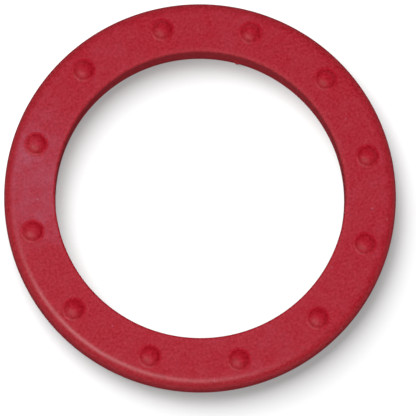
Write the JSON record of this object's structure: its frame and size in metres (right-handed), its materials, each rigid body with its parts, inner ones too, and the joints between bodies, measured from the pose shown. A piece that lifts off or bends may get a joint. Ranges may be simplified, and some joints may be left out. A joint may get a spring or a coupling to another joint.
{
  "type": "nubbed rubber ring",
  "caption": "Flat open ring of solid red rubber with a broad rounded outer rim and one circle of low domed nubs on its upper face, held or thrown by hand.",
  "frame": {"origin": "on the ring's axis, in the plane of its flat underside", "axes": "+Z along the ring's axis, out of the nubbed face; +X through the centre of nub_01"},
  "size_m": [0.15, 0.15, 0.0161],
  "materials": {
    "red_rubber": "moulded matte natural rubber with a faint dusty bloom"
  },
  "bodies": {
    "root": {"ring_band": "red_rubber", "nub_01": "red_rubber", "nub_02": "red_rubber", "nub_03": "red_rubber", "nub_04": "red_rubber", "nub_05": "red_rubber", "nub_06": "red_rubber", "nub_07": "red_rubber", "nub_08": "red_rubber", "nub_09": "red_rubber", "nub_10": "red_rubber", "nub_11": "red_rubber", "nub_12": "red_rubber"}
  },
  "joints": []
}
